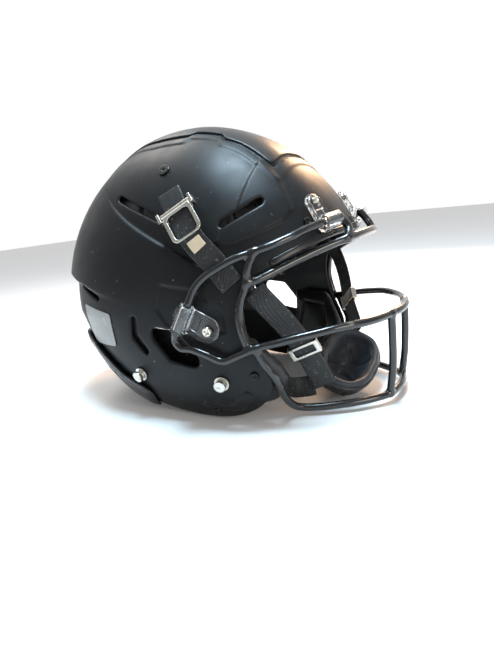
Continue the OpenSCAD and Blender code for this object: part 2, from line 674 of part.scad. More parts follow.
module lower_strap(route, face) {
    line = smooth(route, 2);
    color("#161617") ribbon(line, [for (p = line) face], strap_w * 0.9, strap_t);
}
module lower_strap_right() {
    lower_strap([at([99, -46, 19]), at([84, -52, 17]), at([64, -58, 22]), at([40, -65, 31]),
        at([18, -74, 43]), at([4, -82, 51]), at([-10, -87.5, 57]), at([-26, -89, 60]), at([-42, -87.5, 61])], lower_face);
}
module lower_strap_left() {
    lower_strap([at([105, 36, 37]), at([94, 45, 31]), at([82, 50, 24]), at([70, 50, 17]), at([60, 46, 12])],
        [0.2, 0.7, 0.7]);
}

// Chin cup: a bowl that opens up and back
cup_at = [114, -4.2, 20.5];
cup_turn = [19.3, 25.4, 6.8];
module bowl(w, h, depth, wall) {
    steps = 8;
    sides = 36;
    function ring(a, b, c, v) = [for (i = [0:sides - 1])
        [a * signed_pow(cos(360 * i / sides), 0.85) * sin(v),
            b * signed_pow(sin(360 * i / sides), 0.85) * sin(v),
            -c * cos(v)]];
    loft(concat(
        [for (k = [0:steps]) ring(h / 2, w / 2, depth, 3 + 87 * k / steps)],
        [for (k = [steps:-1:0]) ring(h / 2 - wall, w / 2 - wall, depth - wall, 3 + 87 * k / steps)]));
}
module at_cup() {
    translate(at(cup_at)) rotate(cup_turn) translate([0, 0, cup_depth / 2]) children();
}
module chin_cup() {
    color("#141416") at_cup() bowl(cup_w, cup_h, cup_depth, cup_wall);
}
module cup_liner() {
    inset = cup_wall + 0.3;
    color("#1d222b") at_cup()
        bowl(cup_w - 2 * inset, cup_h - 2 * inset, cup_depth - inset, cup_lining);
}

shell();
crown_panel();
nape_bumper();
brow_bumper();
rating_patch();
crown_pad();
brow_pad();
back_pad();
nape_pad();
side_pad_right();
side_pad_left();
jaw_pad_right();
jaw_pad_left();
ear_pad_right();
ear_pad_left();
top_bar_right();
top_bar_left();
brow_bar();
mouth_bar();
chin_bar();
side_post_right();
side_post_left();
front_post_right();
front_post_left();
side_clip_right();
side_clip_left();
front_clip_right();
front_clip_left();
side_clip_screws();
front_clip_screws();
brow_screws();
jaw_screws();
front_snap_studs();
rear_snap_studs();
upper_snap_studs();
air_valves();
buckle_socket_right();
buckle_socket_left();
buckle_frame_right();
buckle_frame_left();
buckle_lever_right();
buckle_lever_left();
strap_tab_right();
strap_tab_left();
shell_strap_right();
shell_strap_left();
cup_strap_right();
cup_strap_left();
slide_buckle_right();
slide_buckle_left();
lower_strap_right();
lower_strap_left();
chin_cup();
cup_liner();
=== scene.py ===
# American football helmet: the looks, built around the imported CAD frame. Lengths are in mm
# inside the shape functions and are scaled to metres when a mesh is made.
import math

import bmesh
import bpy
import numpy as np
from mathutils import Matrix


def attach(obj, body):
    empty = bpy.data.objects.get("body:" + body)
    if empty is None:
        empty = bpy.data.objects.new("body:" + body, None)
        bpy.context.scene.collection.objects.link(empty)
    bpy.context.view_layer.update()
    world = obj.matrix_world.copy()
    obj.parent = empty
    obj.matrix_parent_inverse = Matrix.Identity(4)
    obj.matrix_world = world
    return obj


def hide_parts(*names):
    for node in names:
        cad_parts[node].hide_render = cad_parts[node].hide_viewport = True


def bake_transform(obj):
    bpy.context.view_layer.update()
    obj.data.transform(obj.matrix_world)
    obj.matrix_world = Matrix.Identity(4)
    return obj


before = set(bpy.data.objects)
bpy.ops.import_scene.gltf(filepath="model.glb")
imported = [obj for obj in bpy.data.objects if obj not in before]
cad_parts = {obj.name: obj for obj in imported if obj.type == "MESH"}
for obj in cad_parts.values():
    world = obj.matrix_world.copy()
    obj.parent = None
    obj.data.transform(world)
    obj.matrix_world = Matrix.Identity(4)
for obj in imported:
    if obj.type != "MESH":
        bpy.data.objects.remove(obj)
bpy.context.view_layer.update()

import openvdb
from mathutils import Matrix, Vector

MM = 0.001
COARSE = 1.0

# ---------------------------------------------------------------- camera, floor and lights

CAMERA_AT = (0.2535, -0.4318, 0.17745)
CAMERA_AZIMUTH = 29.29
CAMERA_DOWN = 13.96
CAMERA_ROLL = -5.99
CAMERA_LENS = 27.15
FLOOR_HALF = 4.0
FLOOR_GAP = 0.0005
# The sky is bright behind the helmet and dimmer behind the camera
SKY_WAY = (-0.45, 0.84, 0.30)
SKY_DIM, SKY_BRIGHT = 0.38, 1.0


def make_camera():
    az, el, roll = (math.radians(a) for a in (CAMERA_AZIMUTH, CAMERA_DOWN, CAMERA_ROLL))
    look = Vector((-math.sin(az) * math.cos(el), math.cos(az) * math.cos(el), -math.sin(el)))
    right = look.cross(Vector((0, 0, 1))).normalized()
    up = right.cross(look)
    rolled_right = right * math.cos(roll) + up * math.sin(roll)
    rolled_up = up * math.cos(roll) - right * math.sin(roll)
    data = bpy.data.cameras.new("camera")
    data.sensor_width = 36
    data.lens = CAMERA_LENS
    data.clip_start = 0.01
    camera = bpy.data.objects.new("camera", data)
    turn = Matrix((rolled_right, rolled_up, -look)).transposed()
    camera.matrix_world = Matrix.Translation(CAMERA_AT) @ turn.to_4x4()
    bpy.context.collection.objects.link(camera)
    bpy.context.scene.camera = camera


def area_light(name, at, aim, size, power, color):
    data = bpy.data.lights.new(name, "AREA")
    data.shape = "RECTANGLE"
    data.size, data.size_y = size
    data.energy = power
    data.color = color
    light = bpy.data.objects.new(name, data)
    way = Vector(aim) - Vector(at)
    light.matrix_world = Matrix.Translation(at) @ way.to_track_quat("-Z", "Y").to_matrix().to_4x4()
    bpy.context.collection.objects.link(light)


def make_stage():
    mesh = bpy.data.meshes.new("floor")
    half = FLOOR_HALF
    corners = [(-half, -half, 0), (half, -half, 0), (half, half, 0), (-half, half, 0)]
    mesh.from_pydata(corners, [], [(0, 1, 2, 3)])
    floor = bpy.data.objects.new("floor", mesh)
    floor.location.z = -FLOOR_GAP
    bpy.context.collection.objects.link(floor)
    material = bpy.data.materials.new("floor_white")
    material.use_nodes = True
    shader = material.node_tree.nodes["Principled BSDF"]
    shader.inputs["Base Color"].default_value = (0.93, 0.93, 0.93, 1)
    shader.inputs["Roughness"].default_value = 0.9
    mesh.materials.append(material)
    world = bpy.data.worlds.new("studio")
    bpy.context.scene.world = world
    world.use_nodes = True
    tree = world.node_tree
    sky = tree.nodes["Background"]
    sky.inputs["Color"].default_value = (1, 1, 1, 1)
    way = tree.nodes.new("ShaderNodeVectorMath")
    way.operation = "DOT_PRODUCT"
    way.inputs[1].default_value = SKY_WAY
    fade = tree.nodes.new("ShaderNodeMapRange")
    fade.inputs["From Min"].default_value = -0.1
    fade.inputs["From Max"].default_value = 0.75
    fade.inputs["To Min"].default_value = SKY_DIM
    fade.inputs["To Max"].default_value = SKY_BRIGHT
    tree.links.new(tree.nodes.new("ShaderNodeTexCoord").outputs["Generated"], way.inputs[0])
    tree.links.new(way.outputs["Value"], fade.inputs["Value"])
    tree.links.new(fade.outputs["Result"], sky.inputs["Strength"])
    bpy.context.scene.view_settings.view_transform = "Standard"
    area_light("key", (0.07, -0.06, 1.0), (0.05, -0.06, 0.2), (0.34, 0.24), 17, (0.62, 0.84, 1.0))
    area_light("warm", (0.04, 0.86, 0.62), (0.07, 0, 0.2), (0.26, 0.26), 7, (1.0, 0.62, 0.36))
    area_light("rear", (-0.6, 0.32, 0.95), (-0.03, -0.05, 0.22), (0.4, 0.3), 3, (1.0, 0.95, 0.9))
    area_light("front", (0.9, -0.45, 0.35), (0.1, 0, 0.08), (0.3, 0.3), 3, (1, 0.93, 0.85))


# ---------------------------------------------------------------- shape fields, in mm

CENTRE_X = -23.0
FRONT, BACK, NAPE, HALF_W = 159.0, 150.5, 136.0, 114.75
BELT_Z, CROWN, JAW = 94.0, 157.1, 128.0
LEAN = 0.366
PLAN_POWER, CROWN_POWER, JAW_POWER = 2.39, 1.93, 2.67
WALL = 4.0


def soft_step(t):
    t = np.clip(t, 0, 1)
    return t * t * (3 - 2 * t)


def smooth_max(a, b, k):
    h = np.clip(0.5 + 0.5 * (a - b) / k, 0, 1)
    return b + (a - b) * h + k * h * (1 - h)


def smooth_min(a, b, k):
    return -smooth_max(-a, -b, k)


def skin(x, y, z):
    """Distance outside the shell's smooth dome and skirt, good near the surface."""
    ridge = np.minimum(97 - 0.23 * x, 127)
    back = NAPE + (BACK - NAPE) * soft_step((z - ridge) / 5 + 0.5)
    u = x - CENTRE_X - LEAN * np.maximum(BELT_Z - z, 0)
    a = np.where(u > 0, FRONT, back)
    pu = (np.abs(u) / a) + 1e-9
    pv = (np.abs(y) / HALF_W) + 1e-9
    p = PLAN_POWER
    plan = (pu**p + pv**p) ** (1 / p)
    c = np.where(z >= BELT_Z, CROWN, JAW)
    n = np.where(z >= BELT_Z, CROWN_POWER, JAW_POWER)
    w = np.abs(z - BELT_Z) / c + 1e-9
    total = plan**n + w**n
    size = total ** (1 / n)
    steep = size ** (1 - n)
    by_plan = plan ** (n - 1) * steep
    grad_u = (pu / plan) ** (p - 1) / a
    grad_v = (pv / plan) ** (p - 1) / HALF_W
    grad_w = w ** (n - 1) * steep / c
    slope = np.sqrt(by_plan**2 * (grad_u**2 + grad_v**2) + grad_w**2)
    return (size - 1) / slope


def outline(x, y, points):
    """Signed distance to a closed outline in a plane: negative inside."""
    best = None
    inside = None
    for i, (ax, ay) in enumerate(points):
        bx, by = points[(i + 1) % len(points)]
        ex, ey = bx - ax, by - ay
        wx, wy = x - ax, y - ay
        t = np.clip((wx * ex + wy * ey) / (ex * ex + ey * ey), 0, 1)
        d = (wx - ex * t) ** 2 + (wy - ey * t) ** 2
        flip = ((ay > y) != (by > y)) & (wx < ex * (y - ay) / (ey if ey else 1e-9))
        best = d if best is None else np.minimum(best, d)
        inside = flip if inside is None else inside ^ flip
    return np.where(inside, -1, 1) * np.sqrt(best)


def stretch(x, y, a, b):
    """Distance to the straight stretch from a to b in a plane."""
    ex, ey = b[0] - a[0], b[1] - a[1]
    t = np.clip(((x - a[0]) * ex + (y - a[1]) * ey) / (ex * ex + ey * ey), 0, 1)
    return np.hypot(x - a[0] - ex * t, y - a[1] - ey * t)


def curve_through(points, steps):
    """Smooth curve through points."""
    p = [np.array(q, float) for q in points]
    out = []
    for i in range(len(p) - 1):
        a, b, c, d = p[max(i - 1, 0)], p[i], p[i + 1], p[min(i + 2, len(p) - 1)]
        for k in range(steps):
            t = k / steps
            out.append(b + ((c - a) * t + (2 * a - 5 * b + 4 * c - d) * t * t
                            + (3 * b - a - 3 * c + d) * t**3) / 2)
    return out + [p[-1]]


JAW_EDGE = [(-176, 58), (-125, 52), (-100, 45), (-82, 32), (-64, 18), (-45, 10), (-26, 6), (-8, 2.6),
            (12, 0.3), (28, 0.3), (45, 3), (62, 10), (74, 19), (82, 29)]
FACE_EDGE = [(84, 40), (80, 52), (73.5, 65), (68, 78), (65.5, 92), (66, 106), (69.5, 117), (78, 125),
             (91, 131), (104, 137.5), (114, 143), (124, 147), (140, 149)]
FAR_AWAY = [(260, 149), (260, -60), (-260, -60), (-260, 58)]
CUT = [tuple(q) for q in curve_through(JAW_EDGE + FACE_EDGE, 3)] + FAR_AWAY
EAR = [(-12, 80), (4, 78), (20, 58), (0, 62)]
EAR_ROUND = 6


def panel_half(x):
    return (31 + 8 * soft_step((x + 75) / 40) - 6 * soft_step((x + 8) / 8)
            + 6 * soft_step((x - 24) / 8) + 5 * soft_step((x - 40) / 40))


PANEL_BACK, PANEL_FRONT = -104, 76


def panel_edge(x, y):
    """Distance to the crown panel's outline, seen from above."""
    ends = np.maximum(PANEL_BACK - x, x - PANEL_FRONT)
    return smooth_max(np.abs(y) - panel_half(x), ends, 6)


FACET = [(-82, 204), (-73, 196.5), (-58, 185), (-42, 174.5), (-27, 166), (-12.5, 158.5),
         (17, 143.5), (32, 135), (42, 133), (50, 138), (46, 146), (12, 164), (-10, 173),
         (-32, 184), (-52, 195), (-70, 204)]
FACET_TOP = (-78, 207), (50, 147)
SIDE_PANEL = [(66, 214), (83, 196), (93, 179.5), (97, 170.5), (92, 163), (79, 157), (61, 151),
              (45, 151), (60, 175)]
CLIP_BED = [(-3, 122), (-9, 101), (0, 88), (30, 78), (52, 82), (50, 97), (27, 117)]
JAW_RIB = [(17, 15), (23, 20), (48, 17.5), (62, 31), (70, 26), (55, 12.5), (44, 11), (26, 12)]


def relief(x, y, z):
    """How far the moulded details stand out of the shell's smooth skin."""
    side = soft_step((np.abs(y) - 20) / 12)
    under = soft_step(stretch(x, z, *FACET_TOP) / 16)
    out = -2.6 * under * soft_step(0.5 - outline(x, z, FACET) / 2.2) * side
    out = out + 1.7 * soft_step(0.5 - outline(x, z, SIDE_PANEL) / 2.5) * side
    out = out - 1.3 * soft_step(0.5 - outline(x, z, CLIP_BED) / 2) * side
    out = out + 1.7 * soft_step(0.5 - outline(x, z, JAW_RIB) / 1.6) * side
    top = soft_step((z - 170) / 20)
    near = panel_edge(x, y)
    out = out + 1.0 * soft_step(0.5 - (near - 9) / 2) * top
    return out - 1.8 * (1 - soft_step((np.abs(near) - 0.2) / 1.2)) * top


def shell_field(x, y, z):
    base = skin(x, y, z)
    outer = base - relief(x, y, z)
    d = smooth_max(outer, -(base + WALL), 0.8)
    d = smooth_max(d, -outline(x, z, CUT), 1.6)
    side = 60 - np.abs(y)
    holes = [outline(x, z, EAR) - EAR_ROUND]
    holes.append(np.minimum(stretch(x, z, (-35, 92), (-37, 78)), stretch(x, z, (-37, 78), (-27, 65))) - 3.4)
    holes.append(stretch(x, z, (-54, 193.5), (-5, 173)) - 2.6)
    holes.append(stretch(x, z, (50, 165.5), (74, 179)) - 3.2)
    holes.append(stretch(x, z, (-104, 120.5), (-78, 110)) - 2)
    for hole in holes:
        d = smooth_max(d, -np.maximum(hole, side), 1.4)
    return d


def panel_field(x, y, z):
    base = skin(x, y, z)
    d = smooth_max(base - 2.3, -(base - 0.25), 0.6)
    d = smooth_max(d, panel_edge(x, y) + 0.7, 1.6)
    return np.maximum(d, 150 - z)


# ---------------------------------------------------------------- meshes

def link(name, mesh, body="helmet", replaces=()):
    piece = bpy.data.objects.new(name, mesh)
    bpy.context.collection.objects.link(piece)
    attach(piece, body)
    if replaces:
        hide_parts(*replaces)
    return piece


def vertex_array(mesh):
    out = np.zeros(len(mesh.vertices) * 3)
    mesh.vertices.foreach_get("co", out)
    return out.reshape(-1, 3)


def set_vertices(mesh, points):
    mesh.vertices.foreach_set("co", np.asarray(points, float).ravel())
    mesh.update()


def closed_mesh(name, points, faces):
    """Mesh from points in mm, its faces turned to look out."""
    mesh = bpy.data.meshes.new(name)
    mesh.from_pydata((points * MM).tolist(), [], faces)
    mesh.validate()
    mesh.update()
    bm = bmesh.new()
    bm.from_mesh(mesh)
    if bm.calc_volume(signed=True) < 0:
        bmesh.ops.reverse_faces(bm, faces=bm.faces)
        bm.to_mesh(mesh)
    bm.free()
    mesh.shade_smooth()
    return mesh


def zero_surface(values, low, step):
    """Points in mm and faces of the surface where a grid of distances is zero."""
    grid = openvdb.FloatGrid(3 * step)
    grid.copyFromArray(np.clip(values, -3 * step, 3 * step).astype(np.float32))
    points, quads = grid.convertToQuads(isovalue=0.0)
    return points.astype(float) * step + np.array(low), quads[:, ::-1].tolist()


def field_mesh(name, field, low, high, step, rounds=3):
    """Mesh of the surface where field is zero, its corners moved onto the surface."""
    axes = [np.arange(a, b + step, step) for a, b in zip(low, high)]
    values = field(axes[0][:, None, None], axes[1][None, :, None], axes[2][None, None, :])
    points, faces = zero_surface(np.broadcast_to(values, [len(a) for a in axes]), low, step)
    small = 0.05
    for _ in range(rounds):
        x, y, z = points.T
        d = field(x, y, z)
        slope = np.stack([field(x + small, y, z) - field(x - small, y, z),
                          field(x, y + small, z) - field(x, y - small, z),
                          field(x, y, z + small) - field(x, y, z - small)], 1) / (2 * small)
        size = np.maximum((slope**2).sum(1), 0.2)
        points = points - np.clip(d / size, -step / 2, step / 2)[:, None] * slope
    return closed_mesh(name, points, faces)


def applied(piece):
    """Applies a piece's modifiers to its mesh."""
    depsgraph = bpy.context.evaluated_depsgraph_get()
    mesh = bpy.data.meshes.new_from_object(piece.evaluated_get(depsgraph))
    piece.modifiers.clear()
    old = piece.data
    piece.data = mesh
    bpy.data.meshes.remove(old)


# ---------------------------------------------------------------- finishes

def link_value(tree, node, socket, source, low, high):
    """Feeds a socket from a 0 to 1 value spread between low and high."""
    spread = tree.nodes.new("ShaderNodeMapRange")
    spread.inputs["From Min"].default_value = 0.3
    spread.inputs["From Max"].default_value = 0.7
    spread.inputs["To Min"].default_value = low
    spread.inputs["To Max"].default_value = high
    tree.links.new(source, spread.inputs["Value"])
    tree.links.new(spread.outputs["Result"], node.inputs[socket])


def surface(name, color, rough, metal=0.0, grain=(900, 0.15), tone=0.25, specular=0.5, coat=0.0, dust=0.0,
            weave=False, scratches=0.0, worn=None, **sockets):
    """Material with uneven tone and roughness, grain in the surface, and dust or weave where asked."""
    material = bpy.data.materials.new(name)
    material.use_nodes = True
    tree = material.node_tree
    shader = tree.nodes["Principled BSDF"]
    where = tree.nodes.new("ShaderNodeTexCoord").outputs["Object"]

    def noise(scale, detail=3.0, stretch=None):
        node = tree.nodes.new("ShaderNodeTexNoise")
        node.inputs["Scale"].default_value = scale
        node.inputs["Detail"].default_value = detail
        at = where
        if stretch:
            mapping = tree.nodes.new("ShaderNodeMapping")
            mapping.inputs["Scale"].default_value = stretch[0]
            mapping.inputs["Rotation"].default_value = stretch[1]
            tree.links.new(where, mapping.inputs["Vector"])
            at = mapping.outputs["Vector"]
        tree.links.new(at, node.inputs["Vector"])
        return node.outputs["Fac"]

    def mix(amount, under, over):
        node = tree.nodes.new("ShaderNodeMix")
        node.data_type = "RGBA"
        tree.links.new(amount, node.inputs["Factor"])
        for socket, value in ((node.inputs["A"], under), (node.inputs["B"], over)):
            if isinstance(value, bpy.types.NodeSocket):
                tree.links.new(value, socket)
            else:
                socket.default_value = (*value, 1)
        return node.outputs["Result"]

    def over(source, low, high):
        node = tree.nodes.new("ShaderNodeMapRange")
        node.inputs["From Min"].default_value = low
        node.inputs["From Max"].default_value = high
        tree.links.new(source, node.inputs["Value"])
        return node.outputs["Result"]

    dark = tuple(c * (1 - tone) for c in color)
    light = tuple(min(1, c * (1 + tone)) for c in color)
    paint = mix(noise(55), dark, light)
    if worn:
        paint = mix(over(noise(worn[0], 6), worn[1], worn[1] + 0.06), paint, worn[2])
    if scratches:
        fine = noise(60, 2, ((1, 22, 3), (0.3, 0.5, 0.9)))
        paint = mix(over(fine, 0.745 - 0.02 * scratches, 0.80), paint, (0.16, 0.16, 0.16))
    if dust:
        paint = mix(over(noise(420, 1), 0.80 - 0.06 * dust, 0.86), paint, (0.28, 0.28, 0.27))
    tree.links.new(paint, shader.inputs["Base Color"])
    link_value(tree, shader, "Roughness", noise(38, 5), *rough)
    shader.inputs["Metallic"].default_value = metal
    shader.inputs["Specular IOR Level"].default_value = specular
    shader.inputs["Coat Weight"].default_value = coat
    shader.inputs["Coat Roughness"].default_value = 0.15
    for key, value in sockets.items():
        shader.inputs[key.replace("_", " ")].default_value = value
    bump = tree.nodes.new("ShaderNodeBump")
    bump.inputs["Strength"].default_value = grain[1]
    bump.inputs["Distance"].default_value = 0.0004
    tree.links.new(noise(grain[0], 2), bump.inputs["Height"])
    last = bump
    if weave:
        for turn in ((0, 0, 0.785), (0.785, 0, -0.785)):
            wave = tree.nodes.new("ShaderNodeTexWave")
            wave.inputs["Scale"].default_value = 260
            wave.inputs["Distortion"].default_value = 1.2
            mapping = tree.nodes.new("ShaderNodeMapping")
            mapping.inputs["Rotation"].default_value = turn
            tree.links.new(where, mapping.inputs["Vector"])
            tree.links.new(mapping.outputs["Vector"], wave.inputs["Vector"])
            ribs = tree.nodes.new("ShaderNodeBump")
            ribs.inputs["Strength"].default_value = 0.35
            ribs.inputs["Distance"].default_value = 0.0004
            tree.links.new(wave.outputs["Fac"], ribs.inputs["Height"])
            tree.links.new(last.outputs["Normal"], ribs.inputs["Normal"])
            last = ribs
    tree.links.new(last.outputs["Normal"], shader.inputs["Normal"])
    return material


def make_materials():
    return {
        "shell": surface("shell_plastic", (0.0065, 0.0068, 0.0074), (0.36, 0.50), grain=(1500, 0.10),
                         tone=0.2, specular=0.22, dust=0.35, scratches=0.5),
        "panel": surface("shell_panel", (0.0075, 0.0076, 0.008), (0.30, 0.44), grain=(1500, 0.10),
                         tone=0.2, specular=0.28, dust=0.6, scratches=0.4),
        "rubber": surface("bumper_rubber", (0.006, 0.006, 0.006), (0.16, 0.34), grain=(500, 0.25),
                          specular=0.5, dust=0.7),
        "patch": surface("patch_film", (0.30, 0.30, 0.29), (0.35, 0.55), grain=(700, 0.2), tone=0.06,
                         worn=(160, 0.6, (0.36, 0.37, 0.38))),
        "pad": surface("pad_vinyl", (0.011, 0.011, 0.012), (0.30, 0.50), grain=(700, 0.35), specular=0.45,
                       dust=0.3),
        "wire": surface("guard_wire", (0.007, 0.007, 0.0075), (0.15, 0.30), grain=(420, 0.14), coat=0.3,
                        worn=(95, 0.68, (0.10, 0.085, 0.07))),
        "clear": surface("clip_clear", (0.97, 0.98, 0.99), (0.03, 0.14), grain=(260, 0.30), tone=0.02,
                         Transmission_Weight=1.0, IOR=1.49),
        "screw": surface("screw_black", (0.01, 0.01, 0.01), (0.25, 0.4), grain=(900, 0.2), metal=0.6),
        "nickel": surface("buckle_metal", (0.62, 0.58, 0.51), (0.18, 0.38), grain=(650, 0.2),
                          metal=1.0, tone=0.12, worn=(240, 0.60, (0.34, 0.31, 0.27))),
        "strap": surface("strap_web", (0.009, 0.009, 0.0095), (0.38, 0.58), grain=(260, 0.7), weave=True,
                         worn=(330, 0.62, (0.075, 0.078, 0.08))),
        "tab": surface("tab_leather", (0.62, 0.50, 0.35), (0.28, 0.45), grain=(500, 0.4), metal=0.25,
                       tone=0.15),
        "cup": surface("cup_plastic", (0.010, 0.010, 0.011), (0.32, 0.50), grain=(900, 0.2), dust=0.4,
                       worn=(120, 0.64, (0.05, 0.034, 0.024))),
        "foam": surface("cup_foam", (0.013, 0.017, 0.024), (0.42, 0.62), grain=(520, 0.5), tone=0.3,
                        Sheen_Weight=0.25, Sheen_Roughness=0.5),
    }


def dress(piece, finish):
    piece.data.materials.clear()
    piece.data.materials.append(MATERIALS[finish])
    return piece


# ---------------------------------------------------------------- face guard

# Middles of the wires as the CAD lays them, on the wearer's right or from the right to the middle
BAR_R = 3.3
TOP = [(134, -39.5, 144.5), (132.5, -31, 152), (125.9, -30.6, 160.7), (125.3, -32.4, 160.5),
       (118.4, -53.8, 158.1), (117.7, -55.7, 157.9), (109, -66.5, 155), (101.5, -79, 151),
       (89, -91, 146), (78, -96.3, 142.9),
       (65, -105.4, 139.1), (52.1, -110, 133.1), (40.4, -113.3, 126.2), (32.7, -116.1, 117.9),
       (28.4, -119.1, 108.4), (27.4, -119.3, 106.6), (14.5, -121.6, 83.5)]
MOUTH = [(14.5, -121.6, 83.5), (11.9, -120.6, 77), (16.5, -120.2, 71.3), (25.7, -119.3, 70.4),
         (38, -117.7, 65.9), (51.4, -115.2, 60.3), (63.8, -112.2, 64.6), (77, -104.5, 69.3),
         (91, -99, 72), (106, -92, 75),
         (119, -84.5, 77), (133, -75, 79), (147, -61, 79.5), (156.5, -46, 79.5), (163.5, -27, 79.5),
         (167.3, -13, 79.8), (168.5, 0, 80)]
BROW = [(71.5, -102, 119.5), (80, -95.6, 121.8), (91, -83, 127), (103, -70, 132.5), (116, -56, 138),
        (127, -45.5, 142), (134.5, -38, 144), (139, -20, 145.8), (140.5, 0, 146.3)]
POST = [(78, -96.3, 142.9), (73.5, -101.5, 131), (71.5, -102, 119.5), (67, -105, 107), (65, -107, 92),
        (67, -107.5, 80), (70.5, -106.5, 68.4)]
CHIN = [(76, -105, 68.5), (80.5, -103, 57), (86.8, -99.5, 45.5), (88, -93.5, 35), (88, -86, 23.5),
        (90, -77.5, 13), (95, -69.5, 7.2), (110, -63.5, 6.5), (131, -52, 7), (149, -38, 7.6), (160, -25, 8.4),
        (163.5, -12, 9), (164.6, 0, 9.2)]
FRONT_POST = [(163.5, -27, 79.5), (163.8, -26.5, 58), (163, -25.5, 32), (160, -25, 8.4)]


def mirror(points):
    return [(x, -y, z) for x, y, z in points]


def across(points):
    return points + mirror(points[:-1])[::-1]


def guard_mesh(step):
    routes = [TOP, mirror(TOP), across(MOUTH), across(BROW), POST, mirror(POST), across(CHIN), FRONT_POST,
              mirror(FRONT_POST)]
    low, high = np.array([4.0, -130, -1]), np.array([176.0, 130, 170])
    axes = [np.arange(a, b + step, step) for a, b in zip(low, high)]
    total = None
    reach = BAR_R + 6
    for route in routes:
        own = np.full([len(a) for a in axes], 9.0, np.float32)
        line = curve_through(route, 6)
        for a, b in zip(line, line[1:]):
            cut = tuple(slice(max(int((min(p, q) - reach - o) / step), 0),
                              int((max(p, q) + reach - o) / step) + 2)
                        for p, q, o in zip(a, b, low))
            x, y, z = axes[0][cut[0], None, None], axes[1][None, cut[1], None], axes[2][None, None, cut[2]]
            way = b - a
            t = np.clip(((x - a[0]) * way[0] + (y - a[1]) * way[1] + (z - a[2]) * way[2]) / (way @ way), 0, 1)
            d = np.sqrt((x - a[0] - way[0] * t) ** 2 + (y - a[1] - way[1] * t) ** 2
                        + (z - a[2] - way[2] * t) ** 2)
            own[cut] = np.minimum(own[cut], d - BAR_R)
        total = own if total is None else np.where(np.maximum(total, own) < 8, smooth_min(total, own, 2.6),
                                                   np.minimum(total, own)).astype(np.float32)
    return closed_mesh("guard", *zero_surface(total, low, step))


# ---------------------------------------------------------------- clips

# Each clip: the way its tab points, the way out of the shell, the way of its wire, and its loop's middle
SIDE_CLIP = ((0.86182, 0.121838, -0.492364), (0.148744, -0.988751, 0.0156858),
             (-0.484915, -0.0867548, -0.870248), (20.9377, -120.404, 95.0523))
FRONT_CLIP = ((-0.500407, 0.0648635, 0.863357), (0.808885, -0.320529, 0.492916),
              (0.308703, 0.945015, 0.107928), (121.841, -43.1238, 159.287))
LOOP_R, LOOP_HOLE = 6.35, 3.45


def clip_field(frame_at, width, tab):
    """Clear clip: a loop round the wire, and a round-ended tab that lies on the shell."""
    along, out, wire_way, at = (np.array(v) for v in frame_at)

    def field(x, y, z):
        rel = x - at[0], y - at[1], z - at[2]
        u, v, w = (sum(r * c for r, c in zip(rel, axis)) for axis in (along, out, wire_way))
        ring = np.hypot(u, v)
        loop = smooth_max(ring - LOOP_R, np.abs(w) - width / 2, 1.6)
        end = width / 2 - 1.5
        plan = stretch(u, w, (0, 0), (tab - end, 0)) - end
        base = skin(x, y, z)
        flat = smooth_max(np.abs(base - 2.4) - 1.7, plan, 1.4)
        flat = np.maximum(flat, -(base - 0.5))
        inset = stretch(u, w, (8, 0), (tab - end, 0)) - end + 2.6
        rib = smooth_max(np.abs(inset) - 0.7, np.abs(base - 4.1) - 0.9, 0.5)
        body = smooth_min(smooth_min(loop, flat, 2.5), rib, 0.6)
        cell = np.maximum(np.abs(u - 10.5) - 2.4, np.abs(w) - width * 0.22)
        body = smooth_max(body, -np.maximum(cell, 2.6 - base), 0.8)
        seat = np.hypot(u - (tab - width * 0.36), w)
        body = smooth_max(body, -np.maximum(seat - 4.9, 2.9 - base), 0.6)
        return np.maximum(body, LOOP_HOLE - ring)

    reach = tab + 8
    return field, tuple(at - reach), tuple(at + reach)


# ---------------------------------------------------------------- chin cup

CUP_AT, CUP_TURN = (114, -4.2, 20.5), (19.3, 25.4, 6.8)
CUP_A, CUP_B, CUP_C, CUP_POWER = 26.0, 41.0, 27.0, 2.35


def cup_frame():
    a, b, c = (math.radians(v) for v in CUP_TURN)
    turn = np.array(Matrix.Rotation(c, 3, "Z") @ Matrix.Rotation(b, 3, "Y") @ Matrix.Rotation(a, 3, "X"))
    return turn, np.array(CUP_AT) + turn @ np.array([0, 0, CUP_C / 2])


def in_cup(x, y, z):
    turn, at = cup_frame()
    rel = x - at[0], y - at[1], z - at[2]
    return tuple(sum(r * turn[i, j] for i, r in enumerate(rel)) for j in range(3))


def bowl_distance(u, v, w, shrink=0.0):
    a, b, c = CUP_A - shrink, CUP_B - shrink, CUP_C - shrink
    p = CUP_POWER
    pu, pv = np.abs(u) / a + 1e-6, np.abs(v) / b + 1e-6
    plan = (pu**p + pv**p) ** (1 / p)
    slope = np.hypot((pu / plan) ** (p - 1) / a, (pv / plan) ** (p - 1) / b)
    size = np.sqrt(plan**2 + (w / c) ** 2)
    deep = np.sqrt((plan / size * slope) ** 2 + (w / c**2 / size) ** 2)
    return (size - 1) / deep, (plan - 1) / slope


def cup_field(x, y, z):
    u, v, w = in_cup(x, y, z)
    body, edge = bowl_distance(u, v, w)
    wall = smooth_max(np.abs(body + 1.3) - 1.3, w - 0.5, 1.0)
    lip = np.hypot(edge + 1.0, w + 0.5) - 2.2
    ribs = 0.7 * soft_step(1 - np.abs(np.abs(u) - 9) / 3) * soft_step(-(w + 8) / 6)
    slot = np.maximum(np.abs(np.abs(v) - 35) - 2.2, np.abs(u) - 9)
    return smooth_max(smooth_min(wall - ribs * (body > -1.4), lip, 1.5), -np.maximum(slot, w + 1.5), 0.8)


# Creases of the lining: place across the cup, tilt, bend, depth and width
CREASES = ((-18, 0.5, 3.0, 1.3, 2.4), (-5, -0.35, 4.0, 1.6, 2.8), (9, 0.6, 3.0, 1.2, 2.2),
           (22, -0.4, 3.5, 1.4, 2.6))


